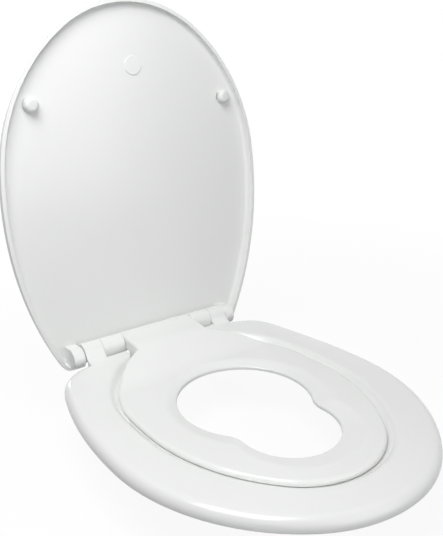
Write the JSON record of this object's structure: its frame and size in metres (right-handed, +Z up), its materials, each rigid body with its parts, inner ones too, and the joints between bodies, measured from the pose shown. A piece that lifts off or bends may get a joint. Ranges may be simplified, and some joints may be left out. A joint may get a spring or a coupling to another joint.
{
  "type": "toilet seat",
  "caption": "Family toilet seat: dished lid and nested child ring in an adult seat on one shared hinge line, with posts and studs that clamp through the bowl.",
  "frame": {"origin": "midway between the two fixing studs, on the plane of the bowl's top face", "axes": "+X along the hinge line, -Y to the front of the seat, +Z up"},
  "size_m": [0.3636, 0.4535, 0.4996],
  "materials": {
    "white_moulding": "gloss",
    "white_hinge_plastic": "gloss",
    "white_buffer": "satin",
    "steel": "satin",
    "nut_plastic": "matte"
  },
  "bodies": {
    "base": {"base_gasket_left": "white_buffer", "base_gasket_right": "white_buffer", "clamp_washer_left": "nut_plastic", "clamp_washer_right": "nut_plastic", "fixing_stud_left": "steel", "fixing_stud_right": "steel", "hinge_pin_left": "steel", "hinge_pin_right": "steel", "hinge_post_left": "white_hinge_plastic", "hinge_post_right": "white_hinge_plastic", "wing_nut_left": "nut_plastic", "wing_nut_right": "nut_plastic"},
    "adult": {"adult_seat": "white_moulding", "seat_foot_front_left": "white_buffer", "seat_foot_front_right": "white_buffer", "seat_foot_rear_left": "white_buffer", "seat_foot_rear_right": "white_buffer"},
    "child": {"child_pad_front_left": "white_buffer", "child_pad_front_right": "white_buffer", "child_pad_rear_left": "white_buffer", "child_pad_rear_right": "white_buffer", "child_seat": "white_moulding", "child_striker": "steel"},
    "cover": {"lid": "white_moulding", "lid_bumper_left": "white_buffer", "lid_bumper_right": "white_buffer", "lid_magnet": "steel", "lid_magnet_cap": "white_moulding"}
  },
  "joints": [
    {"name": "lid_hinge", "type": "hinge", "parent": "base", "child": "cover", "pos_m": [0, 0, 0.031], "axis": [1, 0, 0], "range_deg": [0, 95.6]},
    {"name": "adult_hinge", "type": "hinge", "parent": "base", "child": "adult", "pos_m": [0, 0, 0.031], "axis": [-1, 0, 0], "range_deg": [0, 95]},
    {"name": "child_hinge", "type": "hinge", "parent": "adult", "child": "child", "pos_m": [0, 0, 0.031], "axis": [1, 0, 0], "range_deg": [-95, 0]}
  ]
}
